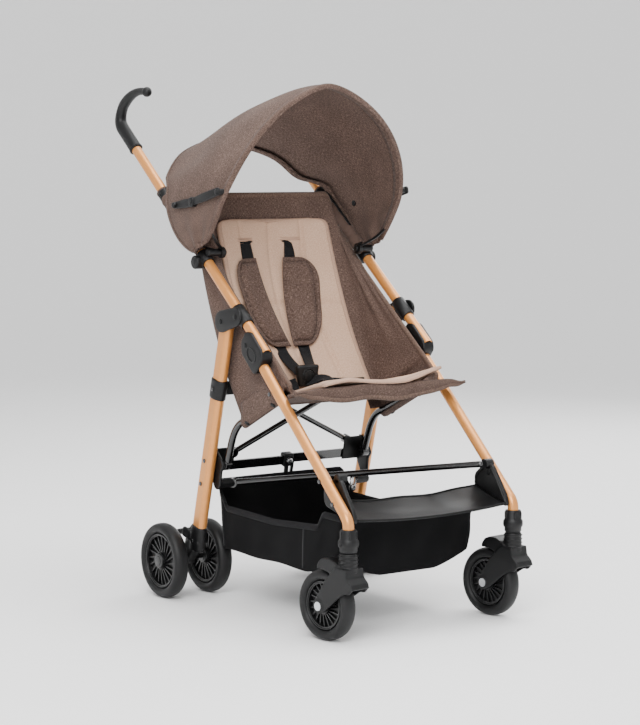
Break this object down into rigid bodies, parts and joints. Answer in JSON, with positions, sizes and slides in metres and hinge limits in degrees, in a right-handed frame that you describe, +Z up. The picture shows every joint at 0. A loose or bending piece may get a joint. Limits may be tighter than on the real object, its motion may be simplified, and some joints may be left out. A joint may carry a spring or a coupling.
{
  "type": "umbrella stroller",
  "caption": "Folding umbrella stroller with a sling seat, tilting canopy, harness, footrest, cloth basket, swivelling front casters, twin rear wheels and hooked push handles.",
  "frame": {"origin": "on the floor under the middle of the outline", "axes": "+Z up, -Y the way the child faces and the stroller rolls, +X to the child's left"},
  "size_m": [0.504, 0.848, 0.997],
  "materials": {
    "painted_aluminium": "satin copper paint",
    "charcoal_plastic": "matte",
    "black_steel": "gloss black",
    "zinc_steel": "bright zinc",
    "wheel_plastic": "gloss black",
    "tyre_foam": "matte dark grey",
    "melange_cloth": "woven brown-grey melange",
    "beige_cloth": "padded beige cloth",
    "black_webbing": "black webbing and cloth"
  },
  "bodies": {
    "left_frame": {"left_handle_tube": "painted_aluminium", "left_grip": "charcoal_plastic", "left_knee_block": "charcoal_plastic", "left_front_leg": "painted_aluminium", "left_canopy_clamp": "charcoal_plastic", "left_caster_socket": "charcoal_plastic", "left_link_plate": "charcoal_plastic", "left_footrest_bracket": "charcoal_plastic", "seat_cloth": "melange_cloth", "seat_liner": "beige_cloth", "shoulder_pads": "melange_cloth", "harness": "black_webbing", "buckle": "charcoal_plastic", "footrest": "black_webbing", "basket": "black_webbing"},
    "right_frame": {"right_handle_tube": "painted_aluminium", "right_grip": "charcoal_plastic", "right_knee_block": "charcoal_plastic", "right_front_leg": "painted_aluminium", "right_canopy_clamp": "charcoal_plastic", "right_caster_socket": "charcoal_plastic", "right_link_plate": "charcoal_plastic", "right_footrest_bracket": "charcoal_plastic"},
    "left_rear_leg_body": {"left_rear_leg": "painted_aluminium", "left_leg_collar": "charcoal_plastic", "left_leg_bracket": "charcoal_plastic", "left_rear_axle": "charcoal_plastic"},
    "left_brake_pedal_body": {"left_brake_pedal": "charcoal_plastic"},
    "left_seat_tube_body": {"left_seat_tube": "black_steel"},
    "left_rear_cross_bar_body": {"left_rear_cross_bar": "black_steel"},
    "left_lower_cross_bar_body": {"left_lower_cross_bar": "black_steel"},
    "left_lock_bar_body": {"left_lock_bar": "black_steel"},
    "left_caster": {"left_caster_fork": "charcoal_plastic", "left_front_axle": "zinc_steel"},
    "left_front_wheel": {"left_front_rim": "wheel_plastic", "left_front_tyre": "tyre_foam"},
    "left_outer_wheel": {"left_outer_rim": "wheel_plastic", "left_outer_tyre": "tyre_foam"},
    "left_inner_wheel": {"left_inner_rim": "wheel_plastic", "left_inner_tyre": "tyre_foam"},
    "right_rear_leg_body": {"right_rear_leg": "painted_aluminium", "right_leg_collar": "charcoal_plastic", "right_leg_bracket": "charcoal_plastic", "right_rear_axle": "charcoal_plastic"},
    "right_brake_pedal_body": {"right_brake_pedal": "charcoal_plastic"},
    "right_seat_tube_body": {"right_seat_tube": "black_steel"},
    "right_rear_cross_bar_body": {"right_rear_cross_bar": "black_steel"},
    "right_lower_cross_bar_body": {"right_lower_cross_bar": "black_steel"},
    "right_lock_bar_body": {"right_lock_bar": "black_steel"},
    "right_caster": {"right_caster_fork": "charcoal_plastic", "right_front_axle": "zinc_steel"},
    "right_front_wheel": {"right_front_rim": "wheel_plastic", "right_front_tyre": "tyre_foam"},
    "right_outer_wheel": {"right_outer_rim": "wheel_plastic", "right_outer_tyre": "tyre_foam"},
    "right_inner_wheel": {"right_inner_rim": "wheel_plastic", "right_inner_tyre": "tyre_foam"},
    "canopy": {"canopy_cloth": "melange_cloth", "canopy_bows": "black_steel", "canopy_stays": "charcoal_plastic"}
  },
  "joints": [
    {"name": "fold", "type": "slide", "parent": "left_frame", "child": "right_frame", "axis": [-1, 0, 0], "range_m": [0, 0.22], "deforming": ["seat_cloth", "seat_liner", "shoulder_pads", "harness", "buckle", "footrest", "basket", "canopy_cloth", "canopy_bows", "canopy_stays"]},
    {"name": "left_leg_fold", "type": "hinge", "parent": "left_frame", "child": "left_rear_leg_body", "pos_m": [-0.188, -0.00054, 0.54805], "axis": [-1, 0, 0], "range_deg": [0, 50.01]},
    {"name": "left_seat_tube_fold", "type": "hinge", "parent": "left_rear_leg_body", "child": "left_seat_tube_body", "pos_m": [-0.163, 0.04393, 0.26827], "axis": [-1, 0, 0], "range_deg": [0, 20.01]},
    {"name": "left_rear_bar_fold", "type": "hinge", "parent": "left_rear_leg_body", "child": "left_rear_cross_bar_body", "pos_m": [-0.14, 0.06606, 0.29052], "axis": [0, -0.9681, -0.2504], "range_deg": [0, 55.41]},
    {"name": "left_lock_bar_fold", "type": "hinge", "parent": "left_rear_leg_body", "child": "left_lock_bar_body", "pos_m": [-0.14, 0.07307, 0.26342], "axis": [0, 0.9681, 0.2504], "range_deg": [0, 65.01]},
    {"name": "left_lower_bar_fold", "type": "hinge", "parent": "left_rear_leg_body", "child": "left_lower_cross_bar_body", "pos_m": [-0.14, 0.05685, 0.2303], "axis": [-0.7866, -0.5978, -0.1546], "range_deg": [0, 71.73]},
    {"name": "left_brake_press", "type": "hinge", "parent": "left_rear_leg_body", "child": "left_brake_pedal_body", "pos_m": [-0.188, 0.13971, 0.12158], "axis": [-1, 0, 0], "range_deg": [0, 15]},
    {"name": "left_caster_swivel", "type": "hinge", "parent": "left_frame", "child": "left_caster", "pos_m": [-0.188, -0.39063, 0.17], "axis": [0, 0, 1], "continuous": true},
    {"name": "left_front_wheel_spin", "type": "hinge", "parent": "left_caster", "child": "left_front_wheel", "pos_m": [-0.19518, -0.3361, 0.064], "axis": [0.9914, 0.1305, 0], "continuous": true},
    {"name": "left_outer_wheel_spin", "type": "hinge", "parent": "left_rear_leg_body", "child": "left_outer_wheel", "pos_m": [-0.238, 0.15537, 0.073], "axis": [1, 0, 0], "continuous": true},
    {"name": "left_inner_wheel_spin", "type": "hinge", "parent": "left_rear_leg_body", "child": "left_inner_wheel", "pos_m": [-0.138, 0.15537, 0.073], "axis": [1, 0, 0], "continuous": true},
    {"name": "right_leg_fold", "type": "hinge", "parent": "right_frame", "child": "right_rear_leg_body", "pos_m": [0.188, -0.00054, 0.54805], "axis": [-1, 0, 0], "range_deg": [0, 50.01]},
    {"name": "right_seat_tube_fold", "type": "hinge", "parent": "right_rear_leg_body", "child": "right_seat_tube_body", "pos_m": [0.163, 0.04393, 0.26827], "axis": [-1, 0, 0], "range_deg": [0, 20.01]},
    {"name": "right_rear_bar_fold", "type": "hinge", "parent": "right_rear_leg_body", "child": "right_rear_cross_bar_body", "pos_m": [0.14, 0.06606, 0.29052], "axis": [0, 0.9681, 0.2504], "range_deg": [0, 55.41]},
    {"name": "right_lock_bar_fold", "type": "hinge", "parent": "right_rear_leg_body", "child": "right_lock_bar_body", "pos_m": [0.14, 0.07307, 0.26342], "axis": [0, -0.9681, -0.2504], "range_deg": [0, 65.01]},
    {"name": "right_lower_bar_fold", "type": "hinge", "parent": "right_rear_leg_body", "child": "right_lower_cross_bar_body", "pos_m": [0.14, 0.0468, 0.21324], "axis": [-0.7866, 0.5978, 0.1546], "range_deg": [0, 71.73]},
    {"name": "right_brake_press", "type": "hinge", "parent": "right_rear_leg_body", "child": "right_brake_pedal_body", "pos_m": [0.188, 0.13971, 0.12158], "axis": [-1, 0, 0], "range_deg": [0, 15]},
    {"name": "right_caster_swivel", "type": "hinge", "parent": "right_frame", "child": "right_caster", "pos_m": [0.188, -0.39063, 0.17], "axis": [0, 0, 1], "continuous": true},
    {"name": "right_front_wheel_spin", "type": "hinge", "parent": "right_caster", "child": "right_front_wheel", "pos_m": [0.18082, -0.3361, 0.064], "axis": [0.9914, 0.1305, 0], "continuous": true},
    {"name": "right_outer_wheel_spin", "type": "hinge", "parent": "right_rear_leg_body", "child": "right_outer_wheel", "pos_m": [0.238, 0.15537, 0.073], "axis": [1, 0, 0], "continuous": true},
    {"name": "right_inner_wheel_spin", "type": "hinge", "parent": "right_rear_leg_body", "child": "right_inner_wheel", "pos_m": [0.138, 0.15537, 0.073], "axis": [1, 0, 0], "continuous": true},
    {"name": "canopy_tilt", "type": "hinge", "parent": "left_frame", "child": "canopy", "pos_m": [0, 0.0624, 0.67564], "axis": [1, 0, 0], "range_deg": [0, 22]}
  ],
  "couplings": [
    {"joint": "left_leg_fold", "follows": "fold", "rad_per_m": 3.9667},
    {"joint": "left_seat_tube_fold", "follows": "fold", "rad_per_m": 1.5867},
    {"joint": "left_rear_bar_fold", "follows": "fold", "rad_per_m": 4.3951},
    {"joint": "left_lock_bar_fold", "follows": "fold", "rad_per_m": 5.1567},
    {"joint": "left_lower_bar_fold", "follows": "fold", "rad_per_m": 5.6898},
    {"joint": "right_leg_fold", "follows": "fold", "rad_per_m": 3.9667},
    {"joint": "right_seat_tube_fold", "follows": "fold", "rad_per_m": 1.5867},
    {"joint": "right_rear_bar_fold", "follows": "fold", "rad_per_m": 4.3951},
    {"joint": "right_lock_bar_fold", "follows": "fold", "rad_per_m": 5.1567},
    {"joint": "right_lower_bar_fold", "follows": "fold", "rad_per_m": 5.6898}
  ]
}
